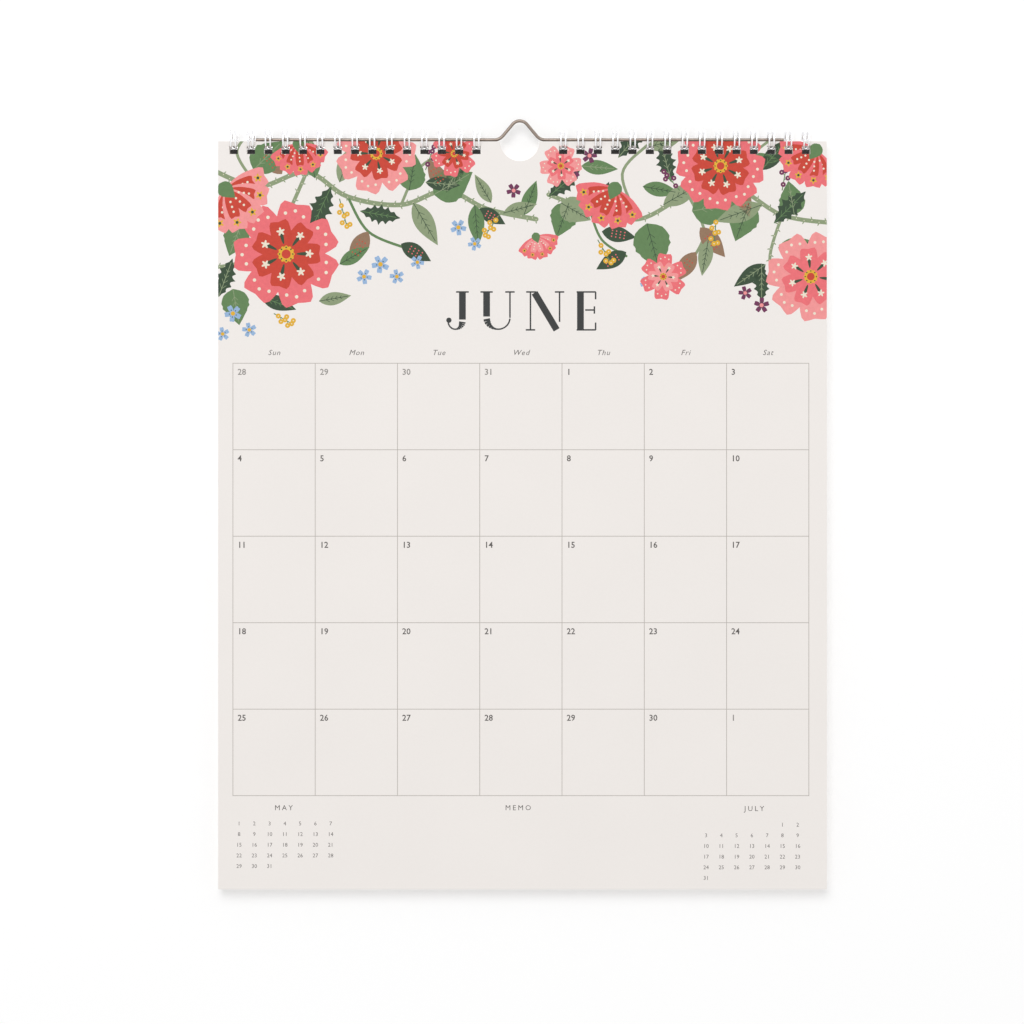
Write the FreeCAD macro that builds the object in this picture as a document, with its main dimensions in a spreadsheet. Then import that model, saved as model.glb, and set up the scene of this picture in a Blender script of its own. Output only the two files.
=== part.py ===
import FreeCAD, Part
import Sketcher
import math
import os

# A wall calendar on twin-loop wire. Row frame: X across the page, +Y into the wall, Z up.
# The origin is the underside of the hanger's hump, where the nail carries it.

# Sizes in millimetres and degrees
SIZES = (
    # printed sheets
    ("sheet_width", 297.0),
    ("sheet_height", 365.0),
    ("paper_thickness", 0.17),
    ("remaining_months", 8),
    ("turned_months", 3),
    ("card_thickness", 0.5),
    ("cover_thickness", 0.25),
    ("leaf_gap", 0.04),
    # punching
    ("punch_shift", 1.3),
    ("side_margin", 7.0),
    ("hole_margin", 2.2),
    ("hole_side_play", 0.4),
    ("hole_clearance", 0.1),
    ("hole_drop", 2.4),
    ("notch_clearance", 0.1),
    # twin-loop wire
    ("loop_pitch", 8.467),
    ("middle_loops_left_out", 4),
    ("loop_wire", 0.95),
    ("loop_spacing", 2.3),
    ("root_bend", 0.6),
    ("tip_gap", 0.08),
    ("seam_clearance", 0.05),
    ("ring_steps", 8),
    # hanger
    ("hanger_wire", 1.6),
    ("hanger_length", 258.0),
    ("hanger_clearance", 0.15),
    ("hump_rise", 9.3),
    ("apex_radius", 4.5),
    ("foot_radius", 5.5),
    ("flank_angle", 50.0),
)

# Sizes that follow from the driving ones
# Front to back: current sheet, remaining sheets, seam of the wires, card, cover, turned sheets.
DERIVED = (
    ("front_stack", "paper_thickness * (1 + remaining_months) + leaf_gap"),
    ("back_stack", "card_thickness + cover_thickness + turned_months * paper_thickness + 2 * leaf_gap"),
    ("seam_gap", "loop_wire + 2 * seam_clearance"),
    ("half_depth", "(front_stack + seam_gap + back_stack) / 2"),
    ("seam_place", "front_stack + seam_gap / 2 - half_depth"),
    ("axis_drop", "hump_rise - hanger_wire / 2"),
    ("edge_drop", "hanger_wire / 2 + hanger_clearance"),
    ("page_top", "axis_drop + edge_drop"),
    ("hole_depth", "edge_drop + hole_margin"),
    ("ring_inner", "sqrt((hole_depth + hole_clearance) ^ 2 + half_depth ^ 2)"),
    ("ring_radius", "ring_inner + loop_wire / 2"),
    ("hole_width", "loop_spacing + loop_wire + 2 * hole_side_play"),
    ("hole_height", "ring_inner + loop_wire - hole_depth + hole_drop"),
    ("first_loop", "(middle_loops_left_out + 1) / 2 * loop_pitch"),
    ("last_room", "sheet_width / 2 - punch_shift - side_margin - first_loop"),
    ("loops_per_run", "floor(last_room / loop_pitch) + 1"),
    ("run_length", "(loops_per_run - 1) * loop_pitch"),
    ("foot_run", "foot_radius * sin(flank_angle * 1deg)"),
    ("foot_rise", "foot_radius * (1 - cos(flank_angle * 1deg))"),
    ("apex_run", "apex_radius * sin(flank_angle * 1deg)"),
    ("apex_fall", "apex_radius * (1 - cos(flank_angle * 1deg))"),
    ("flank_run", "(hump_rise - foot_rise - apex_fall) / tan(flank_angle * 1deg)"),
    ("hump_half", "foot_run + flank_run + apex_run"),
    ("passing_height", "half_depth - paper_thickness"),
    ("foot_inner", "foot_radius - hanger_wire / 2"),
    ("foot_reach", "sqrt(foot_inner ^ 2 - (foot_radius - passing_height) ^ 2)"),
    ("notch_radius", "hump_half - foot_reach + notch_clearance"),
)

doc = FreeCAD.newDocument("wall_calendar")
sizes = doc.addObject("Spreadsheet::Sheet", "Sizes")
for row, (alias, value) in enumerate(SIZES, start=1):
    sizes.set("A%d" % row, alias)
    sizes.set("B%d" % row, str(value))
    sizes.setAlias("B%d" % row, alias)
for row, (alias, formula) in enumerate(DERIVED, start=len(SIZES) + 1):
    sizes.set("A%d" % row, alias)
    sizes.set("B%d" % row, "=" + formula)
    sizes.setAlias("B%d" % row, alias)
doc.recompute()


def size(alias):
    return float(sizes.get(alias))


def new_body(label):
    body = doc.addObject("PartDesign::Body", label)
    body.Label = label
    return body


def new_sketch(body, name, role):
    sketch = body.newObject("Sketcher::SketchObject", name)
    plane = next(feature for feature in body.Origin.OriginFeatures if feature.Role == role)
    sketch.AttachmentSupport = [(plane, "")]
    sketch.MapMode = "FlatFace"
    return sketch


def flat(x, z):
    return FreeCAD.Vector(x, z, 0)


def line(x_start, z_start, x_end, z_end):
    return Part.LineSegment(flat(x_start, z_start), flat(x_end, z_end))


def arc(x, z, radius, start, end):
    circle = Part.Circle(flat(x, z), FreeCAD.Vector(0, 0, 1), radius)
    return Part.ArcOfCircle(circle, math.radians(start), math.radians(end))


def bind(sketch, kind, formula, *places):
    """Adds a dimension to a sketch and ties it to a formula on the sizes."""
    value = float(sketch.evalExpression(formula))
    index = sketch.addConstraint(Sketcher.Constraint(kind, *places, value))
    sketch.setExpression("Constraints[%d]" % index, formula)


def relate(sketch, kind, *places):
    sketch.addConstraint(Sketcher.Constraint(kind, *places))


START, END, CENTRE = 1, 2, 3
ORIGIN = (-1, 1)

# Hanger: one steel wire whose middle is bent up into a hump that hangs on the nail
# The straight rod lies on the common axis of the rings and runs through all of them.
hanger = new_body("wire_hanger")
path = new_sketch(hanger, "hanger_path", "XZ_Plane")
rod = -size("axis_drop")
reach = size("hanger_length") / 2
foot = size("hump_half")
foot_radius = size("foot_radius")
apex_radius = size("apex_radius")
apex = size("hanger_wire") / 2
angle = size("flank_angle")
flank_foot = (foot - size("foot_run"), rod + size("foot_rise"))
flank_head = (size("apex_run"), apex - size("apex_fall"))
path.addGeometry(line(-reach, rod, -foot, rod))
path.addGeometry(arc(-foot, rod + foot_radius, foot_radius, -90, angle - 90))
path.addGeometry(line(-flank_foot[0], flank_foot[1], -flank_head[0], flank_head[1]))
path.addGeometry(arc(0, apex - apex_radius, apex_radius, 90 - angle, 90 + angle))
path.addGeometry(line(flank_head[0], flank_head[1], flank_foot[0], flank_foot[1]))
path.addGeometry(arc(foot, rod + foot_radius, foot_radius, -90 - angle, -90))
path.addGeometry(line(foot, rod, reach, rod))
relate(path, "Tangent", 0, END, 1, START)
relate(path, "Tangent", 1, END, 2, START)
relate(path, "Tangent", 2, END, 3, END)
relate(path, "Tangent", 3, START, 4, START)
relate(path, "Tangent", 4, END, 5, START)
relate(path, "Tangent", 5, END, 6, START)
relate(path, "Horizontal", 0)
relate(path, "Horizontal", 6)
relate(path, "PointOnObject", 3, CENTRE, -2)
bind(path, "DistanceX", "Sizes.hanger_length / 2", 0, START, *ORIGIN)
bind(path, "DistanceY", "Sizes.axis_drop", 0, START, *ORIGIN)
bind(path, "DistanceX", "Sizes.hanger_length / 2", *ORIGIN, 6, END)
bind(path, "DistanceY", "Sizes.axis_drop", 6, END, *ORIGIN)
bind(path, "Radius", "Sizes.foot_radius", 1)
bind(path, "Radius", "Sizes.foot_radius", 5)
bind(path, "Radius", "Sizes.apex_radius", 3)
bind(path, "DistanceY", "Sizes.apex_radius - Sizes.hanger_wire / 2", 3, CENTRE, *ORIGIN)
bind(path, "DistanceX", "Sizes.hump_half", 1, CENTRE, *ORIGIN)
bind(path, "DistanceX", "Sizes.hump_half", *ORIGIN, 5, CENTRE)

section = new_sketch(hanger, "hanger_section", "YZ_Plane")
section.addGeometry(Part.Circle(flat(0, rod), FreeCAD.Vector(0, 0, 1), apex))
bind(section, "Radius", "Sizes.hanger_wire / 2", 0)
bind(section, "DistanceY", "Sizes.axis_drop", 0, CENTRE, *ORIGIN)
relate(section, "PointOnObject", 0, CENTRE, -2)
section.setExpression(".AttachmentOffset.Base.z", "-Sizes.hanger_length / 2")
doc.recompute()
pipe = hanger.newObject("PartDesign::AdditivePipe", "hanger_pipe")
pipe.Profile = section
pipe.Spine = (path, [])
hanger.Tip = pipe


def new_leaves(label, thickness, back):
    """One punched stack: thickness and back are formulas, back being its rear face's place in Y."""
    body = new_body(label)
    outline = new_sketch(body, label + "_outline", "XZ_Plane")
    top = -size("page_top")
    left = -size("sheet_width") / 2 + size("punch_shift")
    right = size("sheet_width") / 2 + size("punch_shift")
    bottom = top - size("sheet_height")
    notch = size("notch_radius")
    outline.addGeometry(line(left, top, -notch, top))
    outline.addGeometry(arc(0, top, notch, 180, 360))
    outline.addGeometry(line(notch, top, right, top))
    outline.addGeometry(line(right, top, right, bottom))
    outline.addGeometry(line(right, bottom, left, bottom))
    outline.addGeometry(line(left, bottom, left, top))
    for first, second in ((0, 1), (1, 2), (2, 3), (3, 4), (4, 5), (5, 0)):
        relate(outline, "Coincident", first, END, second, START)
    for edge in (0, 2, 4):
        relate(outline, "Horizontal", edge)
    for edge in (3, 5):
        relate(outline, "Vertical", edge)
    relate(outline, "PointOnObject", 1, CENTRE, -2)
    relate(outline, "PointOnObject", 1, CENTRE, 0)
    bind(outline, "Radius", "Sizes.notch_radius", 1)
    bind(outline, "DistanceY", "Sizes.page_top", 0, START, *ORIGIN)
    bind(outline, "DistanceY", "Sizes.page_top", 2, END, *ORIGIN)
    bind(outline, "DistanceX", "Sizes.sheet_width / 2 - Sizes.punch_shift", 5, START, *ORIGIN)
    bind(outline, "DistanceX", "Sizes.sheet_width / 2 + Sizes.punch_shift", *ORIGIN, 3, START)
    bind(outline, "DistanceY", "Sizes.page_top + Sizes.sheet_height", 4, END, *ORIGIN)
    leaf = body.newObject("PartDesign::Pad", label + "_sheet")
    leaf.Profile = outline
    leaf.setExpression("Length", thickness)
    doc.recompute()
    whole = leaf.Shape.Volume

    hole = new_sketch(body, label + "_hole", "XZ_Plane")
    width = size("hole_width")
    height = size("hole_height")
    upper = -size("axis_drop") - size("hole_depth")
    for number, start in enumerate(("-Sizes.first_loop - Sizes.run_length", "Sizes.first_loop")):
        x = float(hole.evalExpression(start)) - width / 2
        base = 4 * number
        hole.addGeometry(line(x, upper, x + width, upper))
        hole.addGeometry(line(x + width, upper, x + width, upper - height))
        hole.addGeometry(line(x + width, upper - height, x, upper - height))
        hole.addGeometry(line(x, upper - height, x, upper))
        for side in range(4):
            relate(hole, "Coincident", base + side, END, base + (side + 1) % 4, START)
        relate(hole, "Horizontal", base)
        relate(hole, "Vertical", base + 1)
        relate(hole, "Horizontal", base + 2)
        relate(hole, "Vertical", base + 3)
        bind(hole, "DistanceY", "Sizes.axis_drop + Sizes.hole_depth", base, START, *ORIGIN)
        bind(hole, "DistanceX", start + " - Sizes.hole_width / 2", *ORIGIN, base, START)
        bind(hole, "DistanceX", "Sizes.hole_width", base, START, base, END)
        bind(hole, "DistanceY", "Sizes.hole_height", base + 3, START, base + 3, END)
    punch = body.newObject("PartDesign::Pocket", label + "_punch")
    punch.Profile = hole
    punch.Type = "ThroughAll"
    punch.Midplane = True
    row = body.newObject("PartDesign::LinearPattern", label + "_row")
    row.Originals = [punch]
    row.Direction = (hole, ["H_Axis"])
    row.setExpression("Length", "Sizes.run_length")
    row.setExpression("Occurrences", "Sizes.loops_per_run")
    body.Tip = row
    body.setExpression(".Placement.Base.y", back)
    doc.recompute()
    punched = 2 * size("loops_per_run") * width * height * float(leaf.Length)
    if abs(whole - row.Shape.Volume - punched) > 0.001 * punched:
        raise RuntimeError(label + ": the holes are not cut")
    return body


# Sheets and cards: punched together, threaded on the rings, layered from the front to the back
FRONT = "-Sizes.half_depth + "
BACK = "Sizes.half_depth - "
current_back = FRONT + "Sizes.paper_thickness"
remaining = "Sizes.paper_thickness * Sizes.remaining_months"
turned = "Sizes.paper_thickness * Sizes.turned_months"
cover_back = BACK + turned + " - Sizes.leaf_gap"
current_sheet = new_leaves("current_sheet", "Sizes.paper_thickness", current_back)
remaining_sheets = new_leaves("remaining_sheets", remaining, FRONT + "Sizes.front_stack")
card_back = cover_back + " - Sizes.cover_thickness - Sizes.leaf_gap"
backing_card = new_leaves("backing_card", "Sizes.card_thickness", card_back)
front_cover = new_leaves("front_cover", "Sizes.cover_thickness", cover_back)
turned_sheets = new_leaves("turned_sheets", turned, "Sizes.half_depth")

# Binding wires: each run is one continuous wire of twin loops, closed with its tips at the seam
# A loop rises from the seam at the back, passes over the top and comes down the front to a
# rounded tip that stops just short of the straight length it left. The wire has six flats.
wire = size("loop_wire")
half = size("loop_spacing") / 2
radius = size("ring_radius")
root_bend = size("root_bend")
ring_steps = int(size("ring_steps"))
seam_turn = math.asin(size("seam_place") / radius)
root_turn = seam_turn + root_bend / radius
crest_turn = seam_turn + 2 * math.pi - (wire + size("tip_gap")) / radius
tip_turn = crest_turn - half * math.sin(math.pi / 3) / radius
step_turn = (tip_turn - root_turn) / ring_steps
flat_radius = radius / math.cos(step_turn / 2)


def on_ring(x, turn, from_axis):
    return FreeCAD.Vector(x, from_axis * math.sin(turn), rod - from_axis * math.cos(turn))


def ring_points(x):
    return [on_ring(x, root_turn + step * step_turn, flat_radius) for step in range(ring_steps + 1)]


def loop_points(x):
    """The wire's middle line through one loop: seam, up, over and down, round the tip, and back."""
    crest = [on_ring(x - half / 2, crest_turn, radius), on_ring(x + half / 2, crest_turn, radius)]
    start = [on_ring(x - half - root_bend, seam_turn, radius)]
    finish = [on_ring(x + half + root_bend, seam_turn, radius)]
    return start + ring_points(x - half) + crest + ring_points(x + half)[::-1] + finish


def wire_run(label, first):
    route = []
    for loop in range(int(size("loops_per_run"))):
        route += loop_points(first + loop * size("loop_pitch"))
    along = (route[1] - route[0]).normalize()
    across = FreeCAD.Vector(0, 1, 0).cross(along).normalize()
    third = along.cross(across)
    corners = []
    for turn in range(6):
        a = math.radians(60 * turn)
        corners.append(route[0] + (across * math.cos(a) + third * math.sin(a)) * (wire / 2))
    outline = Part.makePolygon(corners + corners[:1])
    mitred = 1
    run = doc.addObject("Part::Feature", label)
    run.Label = label
    run.Shape = Part.makePolygon(route).makePipeShell([outline], True, False, mitred)
    return run


first_loop = size("first_loop")
binding_wire_left = wire_run("binding_wire_left", -first_loop - size("run_length"))
binding_wire_right = wire_run("binding_wire_right", first_loop)

# Check and write out
doc.recompute()
for item in doc.Objects:
    if "Invalid" in item.State or "Error" in item.State:
        raise RuntimeError(item.Label + " failed")
NODES = (
    hanger,
    binding_wire_left,
    binding_wire_right,
    current_sheet,
    remaining_sheets,
    backing_card,
    front_cover,
    turned_sheets,
)
os.makedirs("parts", exist_ok=True)
for node in NODES:
    if node.Shape.isNull() or not node.Shape.isValid():
        raise RuntimeError(node.Label + " has no valid shape")
for node in NODES:
    node.Shape.exportStep("parts/%s.step" % node.Label)
    print("%-20s solids %d volume %.2f" % (node.Label, len(node.Shape.Solids), node.Shape.Volume))
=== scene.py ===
import bmesh
import bpy
import math
import random
from mathutils import Matrix, Vector


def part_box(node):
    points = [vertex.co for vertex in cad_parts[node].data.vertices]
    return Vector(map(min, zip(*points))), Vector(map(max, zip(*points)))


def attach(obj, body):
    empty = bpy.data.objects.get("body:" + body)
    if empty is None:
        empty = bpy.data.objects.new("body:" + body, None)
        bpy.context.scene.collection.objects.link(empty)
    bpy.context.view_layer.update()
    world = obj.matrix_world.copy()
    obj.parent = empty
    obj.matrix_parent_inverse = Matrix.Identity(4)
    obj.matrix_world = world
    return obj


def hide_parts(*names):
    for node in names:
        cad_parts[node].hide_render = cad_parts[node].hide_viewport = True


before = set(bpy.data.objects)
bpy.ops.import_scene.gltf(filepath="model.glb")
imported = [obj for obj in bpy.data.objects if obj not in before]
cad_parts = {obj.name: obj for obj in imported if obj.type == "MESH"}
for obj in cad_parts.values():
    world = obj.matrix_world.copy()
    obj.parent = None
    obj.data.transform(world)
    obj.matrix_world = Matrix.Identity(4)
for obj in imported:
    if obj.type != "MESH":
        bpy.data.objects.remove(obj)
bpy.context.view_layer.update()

# Page sheet: the month on show, one uncoated off-white sheet, punched along its head.
# It hangs in front of the later months, and its soft grain shows as faint mottling.
MM = 0.001
page_low, page_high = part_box("current_sheet")
page_left, page_right = page_low.x, page_high.x
page_top, page_foot = page_high.z, page_low.z
page_face = page_low.y
PAPER = (237, 232, 228)


def linear(colour):
    """An 8-bit screen colour as scene-linear red, green, blue and alpha."""
    shares = [part / 255 for part in colour]
    return tuple(s / 12.92 if s <= 0.04045 else ((s + 0.055) / 1.055) ** 2.4 for s in shares) + (1.0,)


class Value:
    """A number in a material: adding or multiplying two of them adds the Math node."""

    def __init__(self, finish, socket):
        self.finish = finish
        self.socket = socket

    def maths(self, operation, first, second):
        return self.finish.node("ShaderNodeMath", {"operation": operation}, {0: first, 1: second})

    def __add__(self, other):
        return self.maths("ADD", self, other)

    def __sub__(self, other):
        return self.maths("SUBTRACT", self, other)

    def __rsub__(self, other):
        return self.maths("SUBTRACT", other, self)

    def __mul__(self, other):
        return self.maths("MULTIPLY", self, other)

    __radd__ = __add__
    __rmul__ = __mul__


class Finish:
    """A material with one main shader, and a method that adds any other node to it."""

    def __init__(self, name, **sockets):
        self.material = bpy.data.materials.new(name)
        self.material.use_nodes = True
        self.nodes = self.material.node_tree.nodes
        self.links = self.material.node_tree.links
        self.shader = self.nodes["Principled BSDF"]
        self.place = Value(self, self.nodes.new("ShaderNodeTexCoord").outputs["Object"])
        for socket, value in sockets.items():
            self.set(socket.replace("_", " "), value)

    def set(self, socket, value):
        target = self.shader.inputs[socket]
        if isinstance(value, Value):
            self.links.new(value.socket, target)
        else:
            target.default_value = value

    def node(self, kind, settings, inputs, output=0):
        made = self.nodes.new(kind)
        for setting, value in settings.items():
            if setting == "stops":
                ramp = made.color_ramp
                while len(ramp.elements) < len(value):
                    ramp.elements.new(0.5)
                for element, (position, colour) in zip(ramp.elements, value):
                    element.position = position
                    element.color = colour
            else:
                setattr(made, setting, value)
        for socket, value in inputs.items():
            if isinstance(value, Value):
                self.links.new(value.socket, made.inputs[socket])
            else:
                made.inputs[socket].default_value = value
        return Value(self, made.outputs[output])

    def noise(self, scale, detail=3.0, roughness=0.5, place=None):
        inputs = {"Vector": place or self.place, "Scale": scale, "Detail": detail, "Roughness": roughness}
        return self.node("ShaderNodeTexNoise", {}, inputs)

    def between(self, share, low, high):
        """The colour at share of the way from low to high."""
        return self.node("ShaderNodeValToRGB", {"stops": ((0.0, low), (1.0, high))}, {"Fac": share})

    def bump(self, relief, distance, strength=1.0):
        inputs = {"Height": relief, "Distance": distance, "Strength": strength}
        self.set("Normal", self.node("ShaderNodeBump", {}, inputs))


def shade(colour, factor):
    return tuple(part * factor for part in colour[:3]) + (1.0,)


def paper_finish(name, colour, grain=900.0, mottling=0.012):
    finish = Finish(name, Roughness=0.82, Specular_IOR_Level=0.25)
    fibres = finish.noise(grain, 4.0, 0.65)
    clouds = finish.noise(24.0, 2.0)
    tone = linear(colour)
    share = fibres * 0.5 + clouds * 0.5
    finish.set("Base Color", finish.between(share, shade(tone, 1 - 3 * mottling), shade(tone, 1 + 2 * mottling)))
    finish.bump(fibres, 0.00001, 0.35)
    return finish


def dress(node, finish):
    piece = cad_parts[node]
    piece.data.materials.clear()
    piece.data.materials.append(finish.material)


page_paper = paper_finish("page_paper", PAPER)
dress("current_sheet", page_paper)

# Later and earlier months: blocks of the same paper, one behind the page and one at the back.
# Each is cut in one stroke, so its edges show the sheets as fine parallel lines.


def block_finish(name, colour, sheets, node):
    finish = paper_finish(name, colour)
    low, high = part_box(node)
    depth = finish.node("ShaderNodeSeparateXYZ", {}, {0: finish.place}, 1)
    stack = (depth - low.y) * (sheets / (high.y - low.y))
    edge = finish.node("ShaderNodeMath", {"operation": "FRACT"}, {0: stack})
    ridge = finish.node("ShaderNodeMath", {"operation": "PINGPONG"}, {0: edge * 2.0, 1: 1.0})
    finish.bump(ridge, 0.00006, 0.8)
    return finish


dress("remaining_sheets", block_finish("later_months_paper", PAPER, 8, "remaining_sheets"))
dress("turned_sheets", block_finish("earlier_months_paper", PAPER, 3, "turned_sheets"))

# Backing card and cover: a grey-white board that stiffens the block, and a lighter cover card.
# Both are punched with the sheets and threaded behind the seam of the wires.
board = paper_finish("grey_board", (205, 200, 192), 500.0, 0.03)
dress("backing_card", board)
dress("front_cover", paper_finish("cover_card", (232, 226, 218), 700.0, 0.015))

# Twin-loop binding: round silver-coated wire, bent into a comb of double loops and closed round.
# Each loop starts at the seam behind the page, goes over the top and ends in a rounded tip.
LOOP_PITCH = 8.467 * MM
LOOP_COUNT = 15
FIRST_LOOP = 2.5 * LOOP_PITCH
WIRE_RADIUS = 0.475 * MM
LOOP_RADIUS = 4.281 * MM
HALF_SPACING = 1.15 * MM
ROOT_BEND = 0.6 * MM
TIP_GAP = 0.08 * MM
SEAM_DEPTH = 0.115 * MM
ring_axis = Vector((0, 0, -8.5 * MM))
seam_turn = math.asin(SEAM_DEPTH / LOOP_RADIUS)
root_turn = seam_turn + ROOT_BEND / LOOP_RADIUS
tip_turn = seam_turn + 2 * math.pi - (2 * WIRE_RADIUS + TIP_GAP + HALF_SPACING) / LOOP_RADIUS


def on_ring(x, turn):
    return ring_axis + Vector((x, LOOP_RADIUS * math.sin(turn), -LOOP_RADIUS * math.cos(turn)))


def outward(turn):
    return Vector((0, math.sin(turn), -math.cos(turn)))


def onward(turn):
    return Vector((0, math.cos(turn), math.sin(turn)))


def select_only(*pieces):
    bpy.ops.object.select_all(action="DESELECT")
    for piece in pieces:
        piece.select_set(True)
    bpy.context.view_layer.objects.active = pieces[0]


def spin(angle, steps, centre, axis):
    """Sweeps the last section round an axis by the right-hand rule: the operator counts the other way."""
    bpy.ops.mesh.spin(steps=steps, angle=-angle, center=centre, axis=axis)


def binding_run(name, first_x):
    """One run: a single loop is spun from its round section, arrayed at the pitch and cut to length."""
    start = on_ring(first_x - HALF_SPACING - ROOT_BEND, seam_turn)
    bpy.ops.object.select_all(action="DESELECT")
    bpy.ops.mesh.primitive_circle_add(vertices=10, radius=WIRE_RADIUS, location=start, rotation=(0, math.pi / 2, 0))
    run = bpy.context.object
    run.name = name
    bpy.ops.object.transform_apply(location=True, rotation=True, scale=True)
    bpy.ops.object.mode_set(mode="EDIT")
    bpy.ops.mesh.select_all(action="SELECT")
    first_bend = start + onward(seam_turn) * ROOT_BEND
    across = Vector((1, 0, 0))
    radial = outward(seam_turn)
    spin(math.pi / 2, 5, first_bend, across.cross(onward(seam_turn)))
    spin(tip_turn - root_turn, 30, ring_axis, across)
    tip_centre = on_ring(first_x, tip_turn)
    spin(math.pi, 10, tip_centre, onward(tip_turn).cross(across))
    spin(root_turn - tip_turn, 30, ring_axis, across)
    last_bend = start + onward(seam_turn) * ROOT_BEND + across * 2 * (HALF_SPACING + ROOT_BEND)
    spin(math.pi / 2, 5, last_bend, across.cross(onward(seam_turn)))
    straight = LOOP_PITCH - 2 * (HALF_SPACING + ROOT_BEND)
    bpy.ops.mesh.extrude_region_move(TRANSFORM_OT_translate={"value": (straight, 0, 0)})
    bpy.ops.object.mode_set(mode="OBJECT")
    array = run.modifiers.new("loops", "ARRAY")
    array.count = LOOP_COUNT
    array.use_relative_offset = False
    array.use_constant_offset = True
    array.constant_offset_displace = (LOOP_PITCH, 0, 0)
    array.use_merge_vertices = True
    array.merge_threshold = 0.02 * MM
    bpy.ops.object.modifier_apply(modifier="loops")
    bpy.ops.object.mode_set(mode="EDIT")
    bpy.ops.mesh.select_all(action="SELECT")
    bpy.ops.mesh.remove_doubles(threshold=0.01 * MM)
    end = first_x + (LOOP_COUNT - 1) * LOOP_PITCH + HALF_SPACING + ROOT_BEND
    bpy.ops.mesh.bisect(plane_co=(end, 0, 0), plane_no=(1, 0, 0), clear_outer=True, threshold=0.001 * MM)
    bpy.ops.mesh.select_all(action="SELECT")
    bpy.ops.mesh.fill_holes(sides=12)
    bpy.ops.mesh.normals_make_consistent(inside=False)
    bpy.ops.object.mode_set(mode="OBJECT")
    bpy.ops.object.shade_smooth_by_angle(angle=math.radians(40))
    return run


silver = Finish("silver_wire", Metallic=1.0, Roughness=0.22)
drawn = silver.noise(1400.0, 2.0)
silver.set("Base Color", silver.between(drawn, linear((236, 236, 239)), linear((252, 252, 253))))
silver.bump(drawn, 0.000004, 0.3)
for side, first_x in (("left", -FIRST_LOOP - (LOOP_COUNT - 1) * LOOP_PITCH), ("right", FIRST_LOOP)):
    node = "binding_wire_" + side
    run = binding_run("silver_loops_" + side, first_x)
    run.data.materials.append(silver.material)
    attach(run, "binding")
    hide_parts(node)

# Hanger: one length of drawn steel wire through all the loops, bent up over the half-round cut.
# It is darker than the loops, with fine marks along it from the die.
steel = Finish("hanger_steel", Metallic=1.0, Roughness=0.3)
marks = steel.noise(700.0, 4.0, 0.6)
steel.set("Base Color", steel.between(marks, linear((112, 100, 92)), linear((158, 146, 136))))
steel.bump(marks, 0.000006, 0.4)
dress("wire_hanger", steel)

# Printing: the ink lies on the page as thin flat fields, one piece for each ink colour.
# A shape is drawn once, copied to its places, trimmed at the page's edges and holes, and joined.
INK_FLOAT = 0.01 * MM
INK_LAYER = 0.003 * MM
INK_STEP = 0.0005 * MM
INK_THICKNESS = 0.002 * MM
CUT_EXACTNESS = 0.001 * MM
HEAD_DEPTH = 40 * MM
NEAR_HOLE = 30 * MM
NEAR_NOTCH = 26 * MM
NOTCH_CUTS = 24
NOTCH_RADIUS = 9.66 * MM
HOLE_TOP = 2.2 * MM
HOLE_SIDE = 4.05 * MM
inks = {}


def spot(x, down, level=0):
    """A place on the page: x from the middle of the punching, down from the page's top edge, in mm."""
    return Vector((x * MM, page_face - INK_FLOAT - level * INK_LAYER, page_top - down * MM))


def flat_shape(name, points):
    """A flat field drawn on the page's plane: a filled circle whose rim is moved to the outline."""
    bpy.ops.object.select_all(action="DESELECT")
    bpy.ops.mesh.primitive_circle_add(vertices=len(points), radius=1, fill_type="NGON", rotation=(math.pi / 2, 0, 0))
    shape = bpy.context.object
    bpy.ops.object.transform_apply(location=True, rotation=True, scale=True)
    shape.name = name
    for vertex, (x, z) in zip(shape.data.vertices, points):
        vertex.co = (x, 0, z)
    shape.hide_render = True
    return shape


def ring_of(count, radius_at):
    turns = [2 * math.pi * step / count for step in range(count)]
    return [(radius_at(turn) * math.sin(turn), radius_at(turn) * math.cos(turn)) for turn in turns]


def leaf_outline(count, belly, width, notches=0, bite=0.0):
    """A leaf of length 1 from the origin upwards: widest at belly, with notches along each side."""
    rise = []
    for step in range(count):
        along = step / count
        power = math.log(0.5) / math.log(belly)
        half = width / 2 * math.sin(math.pi * along ** power)
        if notches:
            half *= 1 - bite * abs(math.sin(math.pi * notches * along))
        rise.append((half, along))
    right = [(half, along) for half, along in rise]
    left = [(-half, along) for half, along in reversed(rise[1:])]
    return right + [(0.0, 1.0)] + left


def petal_outline(count, width, dents):
    """A broad petal of length 1 with a frilled end."""
    side = []
    for step in range(count + 1):
        turn = math.pi * step / count
        reach = 0.5 - 0.5 * math.cos(turn)
        frill = 1 + 0.06 * math.cos(dents * turn) * reach
        side.append((width / 2 * math.sin(turn) ** 0.8 * (0.55 + 0.45 * reach) * frill, reach * frill))
    left = [(-x, z) for x, z in reversed(side[1:-1])]
    return side + left


SHAPES = {
    "dot": flat_shape("dot", ring_of(12, lambda turn: 1.0)),
    "disc": flat_shape("disc", ring_of(28, lambda turn: 1.0)),
    "frill": flat_shape("frill", ring_of(72, lambda turn: 0.93 + 0.07 * math.cos(12 * turn))),
    "star": flat_shape("star", ring_of(60, lambda turn: 0.72 + 0.28 * math.cos(5 * turn))),
    "petal": flat_shape("petal", petal_outline(12, 0.86, 5)),
    "narrow": flat_shape("narrow", petal_outline(10, 0.42, 3)),
    "leaf": flat_shape("leaf", leaf_outline(12, 0.42, 0.40)),
    "round_leaf": flat_shape("round_leaf", leaf_outline(14, 0.36, 0.80, 6, 0.10)),
    "lobed": flat_shape("lobed", leaf_outline(40, 0.5, 0.52, 6, 0.42)),
    "bar": flat_shape("bar", [(-0.5, 0.0), (0.5, 0.0), (0.5, 1.0), (-0.5, 1.0)]),
}


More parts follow.
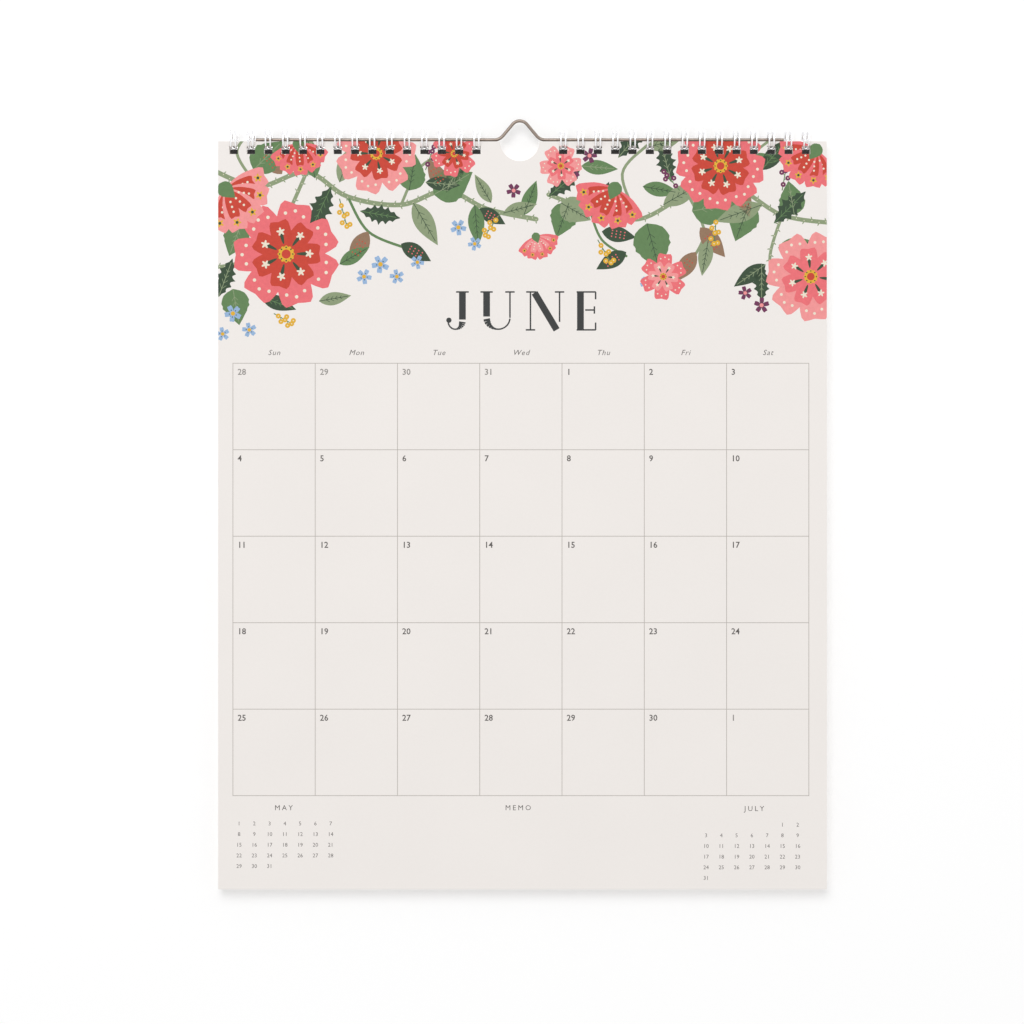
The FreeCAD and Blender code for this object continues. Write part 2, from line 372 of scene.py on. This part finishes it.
def put(ink, shape, x, down, length, turn=0.0, width=None, level=0):
    """Copies a shape to the page: turned clockwise from upright, in degrees, and sized in mm."""
    copy = SHAPES[shape].copy()
    copy.data = SHAPES[shape].data.copy()
    copy.hide_render = False
    bpy.context.scene.collection.objects.link(copy)
    earlier = len(inks.setdefault(ink, []))
    copy.location = spot(x, down, level) - Vector((0, earlier % 6 * INK_STEP, 0))
    copy.rotation_euler = (0, math.radians(turn), 0)
    copy.scale = ((width or length) * MM, 1, length * MM)
    inks[ink].append(copy)


def away(x, down, reach, turn):
    """The point at a distance and a clockwise turn from a place."""
    return x + reach * math.sin(math.radians(turn)), down - reach * math.cos(math.radians(turn))


def stroke(ink, start, end, width, level):
    reach = math.hypot(end[0] - start[0], start[1] - end[1])
    turn = math.degrees(math.atan2(end[0] - start[0], start[1] - end[1]))
    put(ink, "bar", start[0], start[1], reach, turn, width, level)


INKS = {
    "coral": (233, 112, 118),
    "salmon": (240, 150, 150),
    "brick": (200, 68, 52),
    "brown": (146, 116, 92),
    "leaf_green": (98, 130, 85),
    "sage": (140, 155, 120),
    "forest": (56, 76, 56),
    "mustard": (225, 175, 55),
    "sky": (150, 180, 215),
    "plum": (112, 52, 88),
    "cream": (235, 225, 205),
    "heading": (58, 60, 60),
    "rule": (184, 178, 172),
    "text": (96, 92, 90),
    "pale_text": (150, 146, 142),
}
hole_centres = [side * (FIRST_LOOP + number * LOOP_PITCH) for side in (-1, 1) for number in range(LOOP_COUNT)]


def cut(piece, place, normal, chosen, clear=False):
    """Cuts the faces that chosen accepts along a plane, and can drop what lies beyond it."""
    bpy.ops.mesh.select_all(action="DESELECT")
    net = bmesh.from_edit_mesh(piece.data)
    picked = False
    for face in net.faces:
        if chosen(face.calc_center_median()):
            face.select_set(True)
            picked = True
    bmesh.update_edit_mesh(piece.data)
    if picked:
        bpy.ops.mesh.bisect(plane_co=place, plane_no=normal, clear_outer=clear, threshold=CUT_EXACTNESS)


def drop(piece, inside):
    bpy.ops.mesh.select_all(action="DESELECT")
    net = bmesh.from_edit_mesh(piece.data)
    for face in net.faces:
        if inside(face.calc_center_median()):
            face.select_set(True)
    bmesh.update_edit_mesh(piece.data)
    bpy.ops.mesh.delete(type="FACE")


def trim(piece):
    """Cuts the print at the page's edges, round each punched hole and round the half-round cut."""
    everywhere = lambda point: True
    hole_high = page_top - HOLE_TOP
    hole_low = hole_high - HOLE_SIDE
    bpy.ops.object.mode_set(mode="EDIT")
    bpy.ops.mesh.select_mode(type="FACE")
    cut(piece, (page_left, 0, 0), (-1, 0, 0), everywhere, True)
    cut(piece, (page_right, 0, 0), (1, 0, 0), everywhere, True)
    cut(piece, (0, 0, page_top), (0, 0, 1), everywhere, True)
    high_part = lambda point: point.z > page_top - HEAD_DEPTH
    cut(piece, (0, 0, hole_high), (0, 0, 1), high_part)
    cut(piece, (0, 0, hole_low), (0, 0, 1), high_part)
    bpy.ops.mesh.select_all(action="DESELECT")
    net = bmesh.from_edit_mesh(piece.data)
    for face in net.faces:
        face.select_set(hole_low < face.calc_center_median().z < hole_high)
    bmesh.update_edit_mesh(piece.data)
    if not any(face.select for face in net.faces):
        bpy.ops.object.mode_set(mode="OBJECT")
        return
    bpy.ops.mesh.separate(type="SELECTED")
    bpy.ops.object.mode_set(mode="OBJECT")
    row = next(other for other in bpy.context.selected_objects if other != piece)
    select_only(row)
    bpy.ops.object.mode_set(mode="EDIT")
    for centre in hole_centres:
        near = lambda point: abs(point.x - centre) < NEAR_HOLE
        for edge in (-HOLE_SIDE / 2, HOLE_SIDE / 2):
            cut(row, (centre + edge, 0, 0), (1, 0, 0), near)
    drop(row, lambda point: min(abs(point.x - c) for c in hole_centres) < HOLE_SIDE / 2)
    bpy.ops.object.mode_set(mode="OBJECT")
    select_only(piece, row)
    bpy.ops.object.join()
    bpy.ops.object.mode_set(mode="EDIT")
    notch_zone = lambda point: abs(point.x) < NEAR_NOTCH and point.z > page_top - NEAR_NOTCH
    for step in range(1, NOTCH_CUTS):
        turn = math.pi * step / NOTCH_CUTS
        normal = Vector((math.cos(turn), 0, -math.sin(turn)))
        cut(piece, Vector((0, 0, page_top)) + normal * NOTCH_RADIUS, normal, notch_zone)
    drop(piece, lambda point: math.hypot(point.x, point.z - page_top) < NOTCH_RADIUS)
    bpy.ops.object.mode_set(mode="OBJECT")


def print_inks(trimmed):
    """Joins what was put down in each ink into one piece, trims it and gives it its colour."""
    pieces = {}
    for ink, copies in inks.items():
        select_only(*copies)
        bpy.ops.object.transform_apply(location=True, rotation=True, scale=True)
        bpy.ops.object.join()
        pieces[ink] = bpy.context.object
    inks.clear()
    for ink, piece in pieces.items():
        piece.name = "print_" + ink
        select_only(piece)
        if trimmed:
            trim(piece)
        select_only(piece)
        solid = piece.modifiers.new("ink_thickness", "SOLIDIFY")
        solid.thickness = INK_THICKNESS
        solid.offset = 0
        bpy.ops.object.modifier_apply(modifier="ink_thickness")
        finish = Finish("ink_" + ink, Roughness=0.7, Specular_IOR_Level=0.3)
        mottle = finish.noise(500.0, 4.0, 0.7)
        tone = linear(INKS[ink])
        finish.set("Base Color", finish.between(mottle, shade(tone, 0.80), shade(tone, 1.14)))
        finish.bump(mottle, 0.000008, 0.3)
        piece.data.materials.clear()
        piece.data.materials.append(finish.material)
        piece.visible_shadow = False
        piece.visible_diffuse = False
        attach(piece, "current_leaf")


# Garland: printed flowers, leaves and berries on a wandering stem that crosses the head of the page.
# It hangs lower at both sides and leaves room over the month's name.
random.seed(41)


def curve_through(points, steps):
    """Evenly stepped points of a smooth line through a few places."""
    ends = [points[0]] + list(points) + [points[-1]]
    line = []
    for a, b, c, d in zip(ends, ends[1:], ends[2:], ends[3:]):
        for step in range(steps):
            t = step / steps
            line.append(tuple(
                0.5 * (2 * q + (r - p) * t
                       + (2 * p - 5 * q + 4 * r - s) * t ** 2
                       + (3 * q - p - 3 * r + s) * t ** 3)
                for p, q, r, s in zip(a, b, c, d)))
    return line + [points[-1]]


def stem(points, width, level, ink="sage", thorns=True):
    line = curve_through(points, 8)
    for number, (start, end) in enumerate(zip(line, line[1:])):
        stroke(ink, start, end, width, level)
        put(ink, "dot", end[0], end[1], width / 2, level=level)
        if thorns and width > 1.4:
            turn = math.degrees(math.atan2(end[0] - start[0], start[1] - end[1]))
            side = 90 if number % 2 else -90
            put("cream", "dot", *away(end[0], end[1], width * 0.12, turn + side), 0.22, level=level + 2)
            put(ink, "leaf", *away(end[0], end[1], width * 0.4, turn + side), 1.5, turn + side * 0.7, level=level)


def leaf(x, down, length, turn, ink, vein, shape="leaf", level=10, width=None):
    """A printed leaf with a middle rib and slanting side ribs."""
    put(ink, shape, x, down, length, turn, width, level)
    tip = away(x, down, length * 0.9, turn)
    stroke(vein, (x, down), tip, 0.32, level + 1)
    for share in (0.22, 0.36, 0.5, 0.64):
        root = away(x, down, length * share, turn)
        for side in (-38, 38):
            stroke(vein, root, away(*root, length * 0.13 * (1.25 - share), turn + side), 0.24, level + 1)


def speckled(x, down, length, turn, ink, speck, level=10):
    """A printed leaf filled with rows of specks."""
    put(ink, "leaf", x, down, length, turn, length * 1.15, level)
    for share in (0.3, 0.42, 0.54, 0.66):
        for side in (-1, 0, 1):
            root = away(x, down, length * share, turn)
            put(speck, "dot", *away(*root, side * length * 0.085, turn + 90), 0.34, level=level + 1)


def rosette(x, down, radius, petals, outer, inner, turn=0.0, level=30):
    """A large open flower: two rings of frilled petals, each with a paler heart, round a stamen disc."""
    for number in range(petals):
        angle = turn + 360 * number / petals
        root = away(x, down, radius * 0.12, angle)
        put(outer, "petal", *root, radius * 0.92, angle, radius * 0.98, level + number % 2)
        for share, spread in ((0.80, -13), (0.86, 0), (0.80, 13)):
            put("cream", "dot", *away(x, down, radius * share, angle + spread), radius * 0.034, level=level + 3)
    for number in range(petals):
        angle = turn + 360 * (number + 0.5) / petals
        root = away(x, down, radius * 0.06, angle)
        put(inner, "petal", *root, radius * 0.62, angle, radius * 0.60, level + 4 + number % 2)
        tip = away(x, down, radius * 0.45, angle)
        put("forest", "narrow", *away(x, down, radius * 0.2, angle), radius * 0.26, angle, radius * 0.2, level + 6)
        put("cream", "star", *tip, radius * 0.085, angle, level=level + 7)
    put("mustard", "frill", x, down, radius * 0.17, level=level + 8)
    put("brick", "dot", x, down, radius * 0.09, level=level + 9)
    for number in range(8):
        put("forest", "dot", *away(x, down, radius * 0.13, 45 * number), radius * 0.016, level=level + 10)


def fan_flower(x, down, radius, turn, outer, inner, level=30):
    """A flower seen from the side: five petals fanned from a green cup."""
    for spread in (-62, 62, -32, 32, 0):
        put(outer, "petal", x, down, radius, turn + spread, radius * 0.72, level)
        put(inner, "petal", x, down, radius * 0.68, turn + spread, radius * 0.4, level + 1)
        heart = away(x, down, radius * 0.78, turn + spread)
        put("mustard", "star", *heart, radius * 0.10, turn + spread, level=level + 2)
        put("forest", "dot", *heart, radius * 0.035, level=level + 3)
        for share in (0.28, 0.40, 0.52):
            put("cream", "dot", *away(x, down, radius * share, turn + spread), radius * 0.028, level=level + 2)
        level += 1
    cup = away(x, down, radius * 0.24, turn + 180)
    put("leaf_green", "round_leaf", *cup, radius * 0.5, turn, radius * 0.5, level + 5)


def daisy(x, down, radius, ink="sky", heart="mustard", level=30):
    for number in range(5):
        angle = 72 * number + 11 * x
        root = away(x, down, radius * 0.1, angle)
        put(ink, "petal", *root, radius * 0.9, angle, radius * 0.85, level + number % 2)
        put("forest", "dot", *away(x, down, radius * 0.42, angle), radius * 0.07, level=level + 3)
    put(heart, "dot", x, down, radius * 0.26, level=level + 4)


def berries(x, down, reach, turn, ink, count=7, level=24):
    """A sprig of small round berries or buds on a fine stalk."""
    stroke("leaf_green", (x, down), away(x, down, reach, turn), 0.5, level - 1)
    for number in range(count):
        root = away(x, down, reach * (0.25 + 0.75 * number / max(count - 1, 1)), turn)
        side = (0, 55, -55)[number % 3] if number < count - 1 else 0
        place = away(*root, 2.1 if side else 0, turn + side)
        stroke("leaf_green", root, place, 0.35, level - 1)
        put(ink, "disc", *place, 1.25, level=level)
        put("cream", "dot", *place, 0.3, level=level + 1)


# stems, from the left edge to the right edge
stem([(-152, 13), (-128, 22), (-104, 15), (-84, 27), (-58, 31), (-36, 24), (-16, 33), (8, 38)], 2.3, 2)
stem([(154, 40), (128, 36), (104, 22), (82, 26), (58, 38), (34, 33), (14, 26)], 2.1, 3)
stem([(-152, 62), (-134, 58), (-118, 44), (-104, 15)], 1.8, 1)
stem([(-84, 27), (-74, 44), (-56, 52)], 1.3, 2, "leaf_green", False)
stem([(-58, 31), (-48, 12), (-30, 4)], 1.4, 1)
stem([(34, 33), (40, 48), (52, 56)], 1.2, 2, "leaf_green", False)
stem([(82, 26), (90, 44), (84, 58)], 1.4, 1)
stem([(58, 38), (50, 16), (62, 2)], 1.4, 1)
stem([(128, 36), (122, 58), (130, 72)], 1.5, 1)
stem([(104, 22), (112, 8), (124, -2)], 1.3, 1)
stem([(-128, 22), (-138, 6), (-132, -4)], 1.4, 1)

# large flowers
rosette(-114, 55, 25, 7, "coral", "brick", 12)
rosette(-70, 6, 19, 7, "salmon", "brick", 40, 34)
rosette(98, 12, 21, 8, "coral", "brick", 5, 34)
rosette(142, 66, 21, 7, "salmon", "coral", 20, 34)
fan_flower(-143, 24, 21, 130, "salmon", "brick", 44)
fan_flower(46, 24, 19, 205, "coral", "brick", 44)
fan_flower(8, 47, 11, 160, "coral", "salmon", 44)
fan_flower(144, 5, 18, 215, "coral", "brick", 44)
fan_flower(-108, 2, 15, 175, "coral", "brick", 44)
rosette(20, 12, 10, 6, "salmon", "coral", 25, 34)
rosette(-32, 6, 11, 6, "coral", "brick", 10, 34)
rosette(70, 66, 11, 6, "coral", "salmon", 5, 34)

# leaves
for x, down, length, turn, ink, vein, shape in (
    (-147, 76, 20, 20, "forest", "sage", "lobed"),
    (-92, 22, 24, 205, "forest", "leaf_green", "lobed"),
    (-100, 18, 22, 350, "leaf_green", "forest", "leaf"),
    (-118, 10, 20, 60, "sage", "forest", "leaf"),
    (-52, 30, 24, 150, "sage", "forest", "leaf"),
    (-42, 26, 22, 60, "leaf_green", "sage", "round_leaf"),
    (-28, 8, 19, 205, "forest", "sage", "leaf"),
    (-22, 31, 20, 175, "leaf_green", "forest", "leaf"),
    (-8, 35, 17, 75, "sage", "forest", "leaf"),
    (14, 27, 20, 50, "forest", "leaf_green", "lobed"),
    (24, 30, 18, 200, "leaf_green", "forest", "round_leaf"),
    (30, 12, 18, 95, "leaf_green", "sage", "leaf"),
    (62, 40, 24, 165, "leaf_green", "forest", "round_leaf"),
    (70, 31, 22, 60, "sage", "forest", "leaf"),
    (74, 20, 20, 345, "forest", "sage", "lobed"),
    (118, 31, 24, 250, "sage", "forest", "leaf"),
    (124, 40, 22, 45, "forest", "leaf_green", "lobed"),
    (134, 36, 17, 350, "leaf_green", "sage", "round_leaf"),
    (120, 60, 19, 235, "forest", "sage", "leaf"),
    (110, 9, 17, 90, "leaf_green", "forest", "leaf"),
    (62, 3, 18, 75, "sage", "forest", "leaf"),
    (-88, 60, 17, 60, "leaf_green", "forest", "leaf"),
    (-130, 14, 20, 45, "leaf_green", "sage", "round_leaf"),
    (-88, 20, 20, 20, "sage", "forest", "leaf"),
    (-78, 34, 20, 100, "forest", "leaf_green", "lobed"),
    (-54, 24, 18, 10, "leaf_green", "forest", "round_leaf"),
    (-46, 20, 17, 95, "forest", "sage", "leaf"),
    (-14, 30, 16, 330, "sage", "forest", "leaf"),
    (2, 36, 18, 20, "leaf_green", "forest", "leaf"),
    (20, 30, 17, 120, "sage", "forest", "round_leaf"),
    (36, 36, 18, 25, "forest", "leaf_green", "leaf"),
    (48, 8, 20, 40, "forest", "sage", "lobed"),
    (60, 22, 18, 100, "leaf_green", "forest", "leaf"),
    (84, 34, 22, 80, "leaf_green", "sage", "round_leaf"),
    (92, 48, 18, 190, "sage", "forest", "leaf"),
    (112, 30, 20, 200, "leaf_green", "forest", "round_leaf"),
    (118, 14, 20, 40, "forest", "leaf_green", "leaf"),
    (126, 52, 18, 80, "leaf_green", "forest", "leaf"),
    (118, 60, 18, 180, "forest", "sage", "lobed"),
    (-126, 76, 18, 110, "forest", "leaf_green", "leaf"),
    (-140, 72, 18, 170, "leaf_green", "sage", "round_leaf"),
    (-98, 78, 16, 80, "sage", "forest", "leaf"),
    (-136, 40, 17, 200, "leaf_green", "sage", "round_leaf"),
):
    leaf(x, down, length, turn, ink, vein, shape)
for x, down, length, turn in (
    (-74, 44, 19, 210), (-58, 50, 17, 120), (-36, 24, 18, 330), (-116, 16, 18, 320), (52, 54, 17, 240),
    (88, 42, 19, 140), (86, 54, 18, 215), (106, 20, 18, 160), (40, 44, 17, 100), (-20, 33, 15, 120),
):
    speckled(x, down, length, turn, "brown" if length > 17 else "forest", "brick" if length > 17 else "coral")

# small flowers, berries and buds
for x, down, radius in (
    (-68, 60, 4.4), (-60, 66, 3.6), (-76, 66, 3.8), (-50, 59, 3.4), (-30, 42, 4.0), (-22, 50, 3.4),
    (-140, 84, 4.2), (-132, 92, 3.6), (-145, 94, 3.4), (70, 62, 4.0), (62, 69, 3.4), (76, 70, 3.2),
):
    daisy(x, down, radius)
for x, down, radius in (
    (26, 14, 4.2), (34, 7, 3.8), (18, 8, 3.8), (-3, 24, 3.6), (118, 80, 3.8), (110, 74, 3.4),
):
    daisy(x, down, radius, "plum", "salmon")
for x, down, reach, turn in (
    (-88, 28, 14, 165), (38, 48, 13, 150), (-10, 36, 12, 215), (96, 36, 14, 185), (-120, 84, 10, 120),
):
    berries(x, down, reach, turn, "mustard")
for x, down, reach, turn in ((-46, 14, 12, 20), (78, 24, 12, 320), (128, 24, 12, 10)):
    berries(x, down, reach, turn, "plum", 5)

print_inks(True)

# Month's name: tall letters with heavy stems, hair-thin strokes and small breaks, printed in dark grey.
# They stand in the middle of the page, a little over the row of weekdays.
LETTER_TOP = 73.5
LETTER_HEIGHT = 18.5
HAIR = 0.75
STEM = 3.3


def heavy(x, top, height, width=STEM):
    put("heading", "bar", x, top + height, height, 0, width, 1)


def serif(x, down, width):
    put("heading", "bar", x, down + HAIR / 2, HAIR, 0, width, 1)


def bowl(x, down, radius_x, radius_down, heavy_side, start, end):
    """A curved stroke, part of an oval, heavy at its right side for 1 or at its left side for -1."""
    steps = 14
    for step in range(steps):
        a = math.radians(start + (end - start) * step / steps)
        b = math.radians(start + (end - start) * (step + 1) / steps)
        weight = HAIR + (STEM - HAIR) * max(0.0, heavy_side * math.cos((a + b) / 2)) ** 2
        begin = (x + radius_x * math.cos(a), down + radius_down * math.sin(a))
        finish = (x + radius_x * math.cos(b), down + radius_down * math.sin(b))
        stroke("heading", begin, finish, weight, 1)


foot_line = LETTER_TOP + LETTER_HEIGHT
# J
heavy(-28.0, LETTER_TOP, 13.5)
serif(-28.0, LETTER_TOP, 6.2)
bowl(-31.5, LETTER_TOP + 14.2, 3.5, 4.0, 1, 5, 170)
put("heading", "disc", -34.6, LETTER_TOP + 13.8, 1.3, level=1)
# U
heavy(-16.2, LETTER_TOP, 12.0)
serif(-16.2, LETTER_TOP, 6.0)
bowl(-10.5, LETTER_TOP + 12.6, 5.7, 5.6, -1, 175, 4)
heavy(-4.8, LETTER_TOP, 12.6, HAIR)
serif(-4.8, LETTER_TOP, 4.6)
# N
heavy(5.2, LETTER_TOP, LETTER_HEIGHT, HAIR)
serif(5.2, foot_line, 4.6)
serif(5.6, LETTER_TOP, 5.0)
stroke("heading", (7.2, LETTER_TOP + 0.4), (18.0, foot_line), STEM, 1)
heavy(19.4, LETTER_TOP, 14.6, HAIR)
serif(19.4, LETTER_TOP, 4.6)
# E
heavy(29.6, LETTER_TOP, LETTER_HEIGHT)
serif(32.4, LETTER_TOP, 9.4)
serif(32.4, foot_line, 9.4)
serif(34.2, LETTER_TOP + 8.8, 4.6)
heavy(37.0, LETTER_TOP, 3.6, HAIR)
heavy(37.0, foot_line - 3.6, 3.6, HAIR)
heavy(36.4, LETTER_TOP + 7.0, 3.6, HAIR)

# Day table: fine grey rules, seven days across and five weeks down, with the weekdays over it.
# The numbers of the month are dark, and those of the months beside it are paler.
TABLE_LEFT = -140.0
TABLE_TOP = 108.3
DAY_WIDTH = 40.15
DAY_HEIGHT = 42.2
RULE = 0.34
for column in range(8):
    put("rule", "bar", TABLE_LEFT + column * DAY_WIDTH, TABLE_TOP + 5 * DAY_HEIGHT, 5 * DAY_HEIGHT, 0, RULE, 1)
for week in range(6):
    left = TABLE_LEFT - RULE / 2
    put("rule", "bar", left, TABLE_TOP + week * DAY_HEIGHT, 7 * DAY_WIDTH + RULE, 90, RULE, 1)


def letters(ink, words, x, down, height, align="LEFT", slant=0.0, spacing=1.0, weight=0.0):
    """Small print, its capitals of the given height, standing on the line at down."""
    bpy.ops.object.select_all(action="DESELECT")
    bpy.ops.object.text_add(rotation=(math.pi / 2, 0, 0))
    text = bpy.context.object
    text.data.body = words
    text.data.size = height * MM / 0.7
    text.data.align_x = align
    text.data.shear = slant
    text.data.space_character = spacing
    text.data.offset = weight
    text.data.resolution_u = 2
    bpy.ops.object.convert(target="MESH")
    text = bpy.context.object
    text.location = spot(x, down)
    inks.setdefault(ink, []).append(text)


for number in range(35):
    day = (28 + number, number - 3, number - 33)[(number > 3) + (number > 33)]
    column, week = number % 7, number // 7
    x = TABLE_LEFT + column * DAY_WIDTH + 2.3
    down = TABLE_TOP + week * DAY_HEIGHT + 5.6
    ink = "text" if 3 < number < 34 else "pale_text"
    letters(ink, str(day), x, down, 2.9, weight=0.00006)
for column, name in enumerate(("Sun", "Mon", "Tue", "Wed", "Thu", "Fri", "Sat")):
    letters("text", name, TABLE_LEFT + (column + 0.5) * DAY_WIDTH, 104.3, 2.6, "CENTER", 0.3, 1.15)

# Months before and after: two small tables of numbers below the days, and a heading between them.
# They are printed in the same grey as the weekdays.
for title, x, down in (("MAY", -115.2, 326.4), ("MEMO", -0.8, 326.4), ("JULY", 114.4, 326.8)):
    letters("text", title, x, down, 2.5, "CENTER", 0.0, 1.45)
for left, first, top in ((-137.0, 0, 333.8), (90.9, 5, 334.4)):
    for number in range(1, 32):
        column, week = (number + first - 1) % 7, (number + first - 1) // 7
        letters("text", str(number), left + 7.45 * column, top + 5.2 * week, 1.9, "CENTER")

print_inks(False)
for shape in SHAPES.values():
    bpy.data.objects.remove(shape)

# Light, wall and camera: the calendar hangs flat in front of a plain white wall.
# The wall shows the soft shadow beside the page. Behind the punched holes its colour is darkened and its glow taken
# away, a painted shade that makes the holes look deep.
WALL_GAP = 0.3 * MM
WALL_LIFT = 0.07
WALL_WHITE = 0.93
PAINTED_HOLE_SHADE = 0.88
THROUGH_LENGTH = 15 * MM
wall_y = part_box("binding_wire_left")[1].y + WALL_GAP
bpy.ops.object.select_all(action="DESELECT")
bpy.ops.mesh.primitive_plane_add(size=6.0, location=(0, wall_y, 0), rotation=(math.pi / 2, 0, 0))
wall = bpy.context.object
wall.name = "wall"
wall_paint = bpy.data.materials.new("wall_paint")
wall_paint.use_nodes = True
wall.data.materials.append(wall_paint)
nodes = wall_paint.node_tree.nodes
links = wall_paint.node_tree.links
nodes.clear()


def wall_node(kind, *inputs, **settings):
    """Adds a node to the wall's paint, with values or links for its inputs in their order."""
    made = nodes.new("ShaderNode" + kind)
    for setting, value in settings.items():
        setattr(made, setting, value)
    for socket, value in zip(made.inputs, inputs):
        if isinstance(value, bpy.types.NodeSocket):
            links.new(value, socket)
        else:
            socket.default_value = value
    return made.outputs[0]


paths = nodes.new("ShaderNodeLightPath").outputs
faces = nodes.new("ShaderNodeNewGeometry").outputs
place = nodes.new("ShaderNodeSeparateXYZ")
links.new(faces["Position"], place.inputs[0])
sideways = wall_node("Math", place.outputs[0], operation="ABSOLUTE")
painted_hole_shade_mask = wall_node("Math", sideways, 15 * MM, operation="GREATER_THAN")
for value, comparison, limit in (
    (place.outputs[2], "GREATER_THAN", page_top - 7.4 * MM),
    (place.outputs[2], "LESS_THAN", page_top - 0.4 * MM),
    (sideways, "LESS_THAN", 146 * MM),
):
    inside = wall_node("Math", value, limit, operation=comparison)
    painted_hole_shade_mask = wall_node("Math", painted_hole_shade_mask, inside, operation="MULTIPLY")
# painted shade: in the band behind the punched holes the wall loses its glow and its colour is darkened almost to
# black
lift = wall_node("Math", painted_hole_shade_mask, -WALL_LIFT, WALL_LIFT, operation="MULTIPLY_ADD")
tone = wall_node("Math", painted_hole_shade_mask, -PAINTED_HOLE_SHADE, WALL_WHITE, operation="MULTIPLY_ADD")
seen = wall_node("Math", paths["Is Camera Ray"], paths["Is Glossy Ray"], operation="MAXIMUM")
glow = wall_node("Emission", (1, 1, 1, 1), wall_node("Math", seen, lift, operation="MULTIPLY"))
paint = wall_node("AddShader", wall_node("BsdfDiffuse", tone), glow)
# a ray from the calendar's own back passes through the wall, so that its back is lit when seen from behind
close = wall_node("Math", paths["Ray Length"], THROUGH_LENGTH, operation="LESS_THAN")
see_through = wall_node("Math", faces["Backfacing"], close, operation="MAXIMUM")
surface = wall_node("MixShader", see_through, paint, wall_node("BsdfTransparent"))
links.new(surface, nodes.new("ShaderNodeOutputMaterial").inputs["Surface"])

world = bpy.data.worlds.new("studio")
bpy.context.scene.world = world
world.use_nodes = True
world.node_tree.nodes["Background"].inputs["Color"].default_value = (1, 1, 1, 1)
STUDIO_LIGHT = 0.74
sky = world.node_tree
rays = sky.nodes.new("ShaderNodeLightPath")
looked_at = sky.nodes.new("ShaderNodeMath")
looked_at.operation = "MAXIMUM"
sky.links.new(rays.outputs["Is Camera Ray"], looked_at.inputs[0])
sky.links.new(rays.outputs["Is Glossy Ray"], looked_at.inputs[1])
strength = sky.nodes.new("ShaderNodeMath")
strength.operation = "MULTIPLY_ADD"
sky.links.new(looked_at.outputs[0], strength.inputs[0])
strength.inputs[1].default_value = 1 - STUDIO_LIGHT
strength.inputs[2].default_value = STUDIO_LIGHT
sky.links.new(strength.outputs[0], sky.nodes["Background"].inputs["Strength"])


def lamp(name, place, aim, size, power):
    data = bpy.data.lights.new(name, "AREA")
    data.shape = "DISK"
    data.size = size
    data.energy = power
    light = bpy.data.objects.new(name, data)
    bpy.context.scene.collection.objects.link(light)
    light.location = place
    light.rotation_mode = "QUATERNION"
    light.rotation_quaternion = (Vector(aim) - Vector(place)).to_track_quat("-Z", "Y")


page_middle = Vector(((page_left + page_right) / 2, 0, (page_top + page_foot) / 2))
lamp("key_light", page_middle + Vector((-0.45, -2.6, 1.5)), page_middle, 2.2, 34)
lamp("back_fill", page_middle + Vector((0.6, 1.8, 0.8)), page_middle, 1.5, 18)

LENS = 100.0
SENSOR = 36.0
FRAME_SIZE = 1024
PIXEL = 0.488 * MM
AXIS_PIXEL = (519.8, 139.4)
camera_distance = FRAME_SIZE * PIXEL * LENS / SENSOR
camera_data = bpy.data.cameras.new("camera")
camera_data.lens = LENS
camera_data.sensor_width = SENSOR
camera = bpy.data.objects.new("camera", camera_data)
bpy.context.scene.collection.objects.link(camera)
centre_x = (FRAME_SIZE / 2 - AXIS_PIXEL[0]) * PIXEL
centre_z = ring_axis.z - (FRAME_SIZE / 2 - AXIS_PIXEL[1]) * PIXEL
camera.location = (centre_x, page_face - camera_distance, centre_z)
camera.rotation_euler = (math.pi / 2, 0, 0)
camera_data.clip_end = 20.0
bpy.context.scene.camera = camera
bpy.context.scene.view_settings.view_transform = "Standard"
